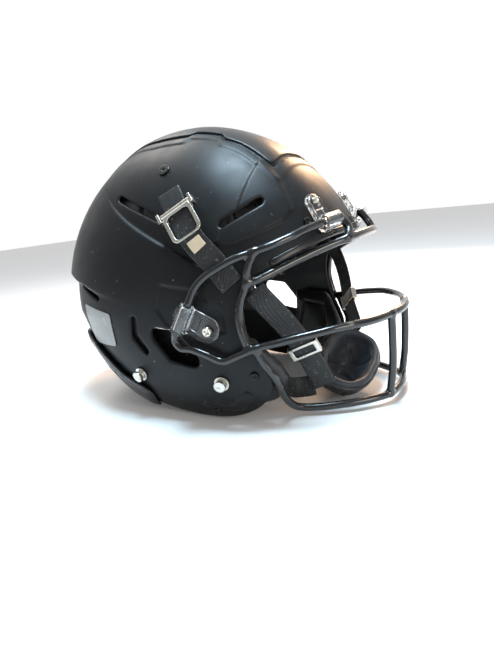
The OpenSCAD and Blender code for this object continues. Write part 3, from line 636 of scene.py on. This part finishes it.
def folds(u, v, w):
    """Creases across the lining, with a fine ripple between them."""
    wave = np.zeros(np.broadcast(u, v, w).shape)
    for v0, tilt, bend, deep, wide in CREASES:
        line = v - v0 - tilt * u - bend * np.sin(u / 5.0 + v0)
        wave = wave - deep * np.exp(-(line / wide) ** 2)
    wave = wave + 0.8 * np.sin(u / 3.1 + 0.7 * np.sin(v / 6)) * np.sin(w / 4.7 + v / 9)
    return wave


def liner_field(x, y, z):
    u, v, w = in_cup(x, y, z)
    inner, edge = bowl_distance(u, v, w, 2.9)
    thick = 4.2 + folds(u, v, w) * soft_step(-(w - 2) / 8)
    wall = smooth_max(inner, -(inner + thick), 1.2)
    wall = smooth_max(wall, w - 1.0, 1.5)
    roll = np.hypot(edge + 0.9, w - 1.6) - 3.3 - 0.35 * np.sin(v / 3.4) * np.sin(u / 4.1 + 1)
    return smooth_min(wall, roll, 1.6)


# ---------------------------------------------------------------- small pieces from the frame

def rounded_copy(name, node, voxel, rounds):
    """A copy of a CAD piece with its edges rounded and its facets gone; voxel is in mm."""
    piece = bpy.data.objects.new(name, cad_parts[node].data.copy())
    bpy.context.collection.objects.link(piece)
    remesh = piece.modifiers.new("remesh", "REMESH")
    remesh.mode = "VOXEL"
    remesh.voxel_size = voxel * MM
    smooth = piece.modifiers.new("smooth", "SMOOTH")
    smooth.factor = 0.5
    smooth.iterations = rounds
    applied(piece)
    return piece


def softened(node, voxel, rounds, finish, body):
    """The rounded copy stands for its CAD piece; a body of None leaves it attached to no body."""
    piece = rounded_copy(node + "_form", node, voxel * COARSE, rounds)
    piece.data.shade_smooth()
    if body:
        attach(piece, body)
    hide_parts(node)
    return dress(piece, finish)


# Middle of the near lower strap in side view, from its back end; behind the spread start the strap widens
# over the ear opening as painted shade
SHADE_STRAP_LINE = [(-42, 61), (-26, 60), (-10, 57), (4, 51), (18, 43)]
SHADE_SPREAD_START, SHADE_SPREAD_SLOPE = 4, 14
SHADE_SPREAD_UP, SHADE_SPREAD_DOWN = 0.95, 0.5


def spread_strap_as_shade(piece):
    """The strap's end spreads wide behind the ear opening: painted shade, dark strap filling the opening
    where only shadow is seen.
    """
    points = vertex_array(piece.data)
    x, z = points[:, 0] / MM, points[:, 2] / MM
    middle = np.interp(x, *zip(*SHADE_STRAP_LINE))
    spread = np.where(z > middle, SHADE_SPREAD_UP, SHADE_SPREAD_DOWN) * soft_step((SHADE_SPREAD_START - x) / SHADE_SPREAD_SLOPE)
    points[:, 2] += (z - middle) * spread * MM
    set_vertices(piece.data, points)


# ---------------------------------------------------------------- padding

# The ear pads close both ear openings with dark padding: painted shade, standing in for the shadow seen
# through the openings.
PADS = {"crown_pad": 0.7, "brow_pad": 0.8, "back_pad": 0.8, "nape_pad": 0.8, "side_pad_right": 0.8,
        "side_pad_left": 0.8, "jaw_pad_right": 0.9, "jaw_pad_left": 0.9,
        "ear_pad_right": 0.7, "ear_pad_left": 0.7}
PAD_VOXEL = 4.0
SIM_FRAMES = 14
# The shell holds what lies within HELD_DEPTH of its skin; the rest swells by MOST_SWELL at most
HELD_DEPTH = 8.5
MOST_SWELL = 3.5


def make_pads():
    """Pad covers, inflated as cloth from the plain CAD pads and then pressed with their welded seams."""
    pieces = [rounded_copy(node + "_cover", node, PAD_VOXEL, 3) for node in PADS]
    start = [vertex_array(p.data) for p in pieces]
    for piece, points in zip(pieces, start):
        mm = points / MM
        back = np.flatnonzero(skin(*mm.T) > -HELD_DEPTH)
        group = piece.vertex_groups.new(name="held")
        group.add(back.tolist(), 1.0, "REPLACE")
        cloth = piece.modifiers.new("cloth", "CLOTH")
        cloth.settings.quality = 6
        cloth.settings.mass = 0.2
        cloth.settings.tension_stiffness = 12
        cloth.settings.compression_stiffness = 12
        cloth.settings.bending_stiffness = 0.6
        cloth.settings.use_pressure = True
        cloth.settings.uniform_pressure_force = 5.0
        cloth.settings.effector_weights.gravity = 0
        cloth.settings.vertex_group_mass = "held"
        cloth.collision_settings.use_collision = False
        cloth.point_cache.frame_start = 1
        cloth.point_cache.frame_end = SIM_FRAMES
    for number in range(1, SIM_FRAMES + 1):
        bpy.context.scene.frame_set(number)
    for piece, points in zip(pieces, start):
        applied(piece)
        moved = vertex_array(piece.data) - points
        size = np.linalg.norm(moved, axis=1, keepdims=True) + 1e-12
        set_vertices(piece.data, points + moved * np.minimum(1, MOST_SWELL * MM / size))
    bpy.context.scene.frame_set(1)
    for piece in pieces:
        subsurf = piece.modifiers.new("fine", "SUBSURF")
        subsurf.levels = subsurf.render_levels = 2
        applied(piece)
        points = vertex_array(piece.data) / MM
        normals = np.zeros(len(piece.data.vertices) * 3)
        piece.data.vertices.foreach_get("normal", normals)
        points = points + normals.reshape(-1, 3) * seam_depth(piece.name, points)[:, None]
        over = np.maximum(skin(*points.T) + WALL + 0.4, 0)
        out = points - np.array([CENTRE_X, 0, BELT_Z])
        points = points - out / np.linalg.norm(out, axis=1, keepdims=True) * over[:, None]
        set_vertices(piece.data, points * MM)
        piece.data.shade_smooth()
        node = piece.name.replace("_cover", "")
        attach(piece, "helmet")
        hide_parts(node)
        dress(piece, "pad")


def seam_depth(name, points):
    """Welded seams and creases pressed into the covers, in mm along the normal."""
    x, y, z = points.T
    depth = 0.35 * np.sin(x / 7.3 + 1.3 * np.sin(y / 11)) * np.sin(y / 6.1 + z / 8.7)
    if name.startswith("jaw"):
        plate = [(38, 20), (62, 22), (68, 40), (64, 62), (40, 66), (36, 44)]
        edge = np.abs(outline(x, z, plate))
        depth = depth - 1.6 * np.exp(-(edge / 1.5) ** 2) - 0.6 * (outline(x, z, plate) < 0)
    elif name.startswith("crown"):
        for line in (x + 44, x + 2, y):
            depth = depth - 3.6 * np.exp(-(line / 2.4) ** 2)
    elif name.startswith("side"):
        depth = depth - 2.6 * np.exp(-((z - 145) / 2.2) ** 2) - 2.6 * np.exp(-((x + 30) / 2.2) ** 2)
    elif name.startswith(("back", "nape")):
        depth = depth - 3.0 * np.exp(-(y / 2.4) ** 2) - 2.4 * np.exp(-((np.abs(y) - 42) / 2.2) ** 2)
    else:
        depth = depth - 2.8 * np.exp(-(y / 2.2) ** 2) - 2.6 * np.exp(-((np.abs(y) - 34) / 2.2) ** 2)
    return depth


# ---------------------------------------------------------------- trim on the shell

def side_point(x, z, off):
    """Point of the shell's right side at x, z that stands off outside the skin."""
    y = np.full(np.broadcast(x, z).shape, -112.0)
    for _ in range(24):
        d = skin(x, y, z) - off
        slope = (skin(x, y - 0.05, z) - skin(x, y + 0.05, z)) / 0.1
        y = y + np.clip(d / np.maximum(slope, 0.15), -6, 6)
    return np.stack([x + 0 * y, y, z + 0 * y], -1)


def make_patch():
    """Blank label, laid on the shell's rear corner."""
    corners = np.array([(-103, 104), (-63, 96.5), (-63.5, 66), (-102, 65.5)], float)
    count = 28
    s, t = np.meshgrid(np.linspace(0, 1, count), np.linspace(0, 1, count), indexing="ij")
    pull = 1 - 0.05 * np.clip(np.abs(2 * s - 1), 0, 1) ** 14 * np.clip(np.abs(2 * t - 1), 0, 1) ** 14
    s, t = 0.5 + (s - 0.5) * pull, 0.5 + (t - 0.5) * pull
    a, b, c, d = corners
    at = (a * ((1 - s) * (1 - t))[..., None] + b * (s * (1 - t))[..., None] + c * (s * t)[..., None]
          + d * ((1 - s) * t)[..., None])
    layers = [side_point(at[..., 0], at[..., 1], off).reshape(-1, 3) for off in (0.75, 0.2)]
    points = np.concatenate(layers)
    one = count * count
    faces = []
    for i in range(count - 1):
        for j in range(count - 1):
            k = i * count + j
            faces.append((k, k + 1, k + count + 1, k + count))
            faces.append((one + k, one + k + count, one + k + count + 1, one + k + 1))
    rim = ([(0, j) for j in range(count)] + [(i, count - 1) for i in range(1, count)]
           + [(count - 1, j) for j in range(count - 2, -1, -1)] + [(i, 0) for i in range(count - 2, 0, -1)])
    for (i0, j0), (i1, j1) in zip(rim, rim[1:] + rim[:1]):
        p, q = i0 * count + j0, i1 * count + j1
        faces.append((q, p, one + p, one + q))
    return closed_mesh("label", points, faces)


def jaw_line(x):
    pts = [p for p in JAW_EDGE if p[0] <= 12]
    return np.interp(x, [p[0] for p in pts], [p[1] for p in pts])


def nape_field(x, y, z):
    """Rear bumper along the lower edge, with a raised rail on its upper part."""
    base = skin(x, y, z)
    above = z - jaw_line(x)
    high = 14.5 + 6 * soft_step((np.abs(y) - 40) / 50)
    taper = soft_step((-30 - x) / 14)
    thick = 2.0 + 3.0 * taper
    band = smooth_max(above - high * (0.55 + 0.45 * taper), -2.5 - above, 2.0)
    rail = 0.9 * soft_step(1 - np.abs(above - high * 0.72) / 2.2)
    rail = rail - 0.9 * soft_step(1 - np.abs(above - high * 0.35) / 1.5)
    d = smooth_max(base - thick - rail * taper, -(base - 0.3), 1.5)
    d = smooth_max(d, band, 2.2)
    return smooth_max(d, x + 34, 2.5)


def face_line(x):
    pts = FACE_EDGE[6:]
    return np.interp(x, [p[0] for p in pts], [p[1] for p in pts])


def brow_field(x, y, z):
    """Rubber edge trim over the face opening."""
    base = skin(x, y, z)
    above = z - face_line(x)
    d = smooth_max(base - 2.6, -(base - 0.3), 1.2)
    d = smooth_max(d, np.abs(above - 3.6) - 2.9, 1.6)
    return smooth_max(d, np.abs(y) - 88, 2)


# ---------------------------------------------------------------- build

MATERIALS = make_materials()
make_camera()
make_stage()

# Field pieces of the helmet's body: mesh name, field, low and high corner, cell, finish, CAD node
BODY_FIELDS = (
    ("shell_skin", "shell_skin", shell_field, (-180, -122, -6), (150, 122, 256), 1.5, "shell", "shell"),
    ("crown_panel_skin", "crown_panel_skin", panel_field, (-115, -55, 140), (90, 55, 258), 1.1, "panel",
     "crown_panel"),
    ("nape_bumper_form", "nape", nape_field, (-170, -118, 0), (-26, 118, 90), 1.0, "rubber", "nape_bumper"),
    ("brow_bumper_form", "brow", brow_field, (60, -95, 118), (142, 95, 160), 0.8, "rubber", "brow_bumper"))
for name, mesh_name, field, low, high, cell, finish, node in BODY_FIELDS:
    mesh = field_mesh(mesh_name, field, low, high, cell * COARSE)
    dress(link(name, mesh, replaces=[node]), finish)

dress(link("face_guard", guard_mesh(0.9 * COARSE),
           replaces=["top_bar_right", "top_bar_left", "brow_bar", "mouth_bar", "chin_bar", "side_post_right",
                     "side_post_left", "front_post_right", "front_post_left"]), "wire")

for kind, place, width, tab in (("side", SIDE_CLIP, 25, 31), ("front", FRONT_CLIP, 21, 28)):
    field, low, high = clip_field(place, width, tab)
    mesh = field_mesh(kind + "_clip", field, low, high, 0.6 * COARSE)
    dress(link(kind + "_clip_right_form", mesh, replaces=[kind + "_clip_right"]), "clear")
    other = mesh.copy()
    other.transform(Matrix.Scale(-1, 4, (0, 1, 0)))
    other.flip_normals()
    dress(link(kind + "_clip_left_form", other, replaces=[kind + "_clip_left"]), "clear")

dress(link("label", make_patch(), replaces=["rating_patch"]), "patch")

# Small pieces that keep the CAD's shape: node, voxel, rounds of smoothing, finish
SMALL_PIECES = (
    ("side_clip_screws", 0.4, 3, "nickel"), ("front_clip_screws", 0.4, 3, "nickel"),
    ("brow_screws", 0.4, 3, "screw"), ("jaw_screws", 0.4, 3, "screw"),
    ("front_snap_studs", 0.35, 3, "nickel"), ("rear_snap_studs", 0.35, 3, "nickel"),
    ("upper_snap_studs", 0.5, 2, "screw"), ("air_valves", 0.4, 3, "rubber"),
    ("strap_tab_right", 0.4, 4, "tab"), ("strap_tab_left", 0.4, 4, "tab"))
for node, voxel, rounds, finish in SMALL_PIECES:
    softened(node, voxel, rounds, finish, "helmet")


for side, y in (("right", -1), ("left", 1)):
    buckle = "buckle_" + side
    for node, body in (("buckle_socket_", buckle), ("buckle_frame_", buckle),
                       ("buckle_lever_", "lever_" + side), ("slide_buckle_", "chin_cup_set")):
        softened(node + side, 0.4, 4, "nickel", body)
    if side == "right":
        lower_strap = softened("lower_strap_right", 0.6, 5, "strap", None)
        # The widened strap end darkens the near ear opening: painted shade over the real strap.
        spread_strap_as_shade(lower_strap)
        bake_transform(lower_strap)
    else:
        softened("lower_strap_left", 0.6, 5, "strap", "chin_cup_set")
    shell_strap = softened("shell_strap_" + side, 0.6, 5, "strap", None)
    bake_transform(shell_strap)
    cup_strap = softened("cup_strap_" + side, 0.6, 5, "strap", None)
    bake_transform(cup_strap)

_, middle = cup_frame()
cup_low, cup_high = tuple(middle - [48, 50, 50]), tuple(middle + [48, 50, 34])
cup = field_mesh("cup", cup_field, cup_low, cup_high, 0.8 * COARSE)
dress(link("chin_cup_form", cup, "chin_cup_set", ["chin_cup"]), "cup")
liner = field_mesh("liner", liner_field, cup_low, cup_high, 0.8 * COARSE)
dress(link("cup_liner_form", liner, "chin_cup_set", ["cup_liner"]), "foam")

make_pads()
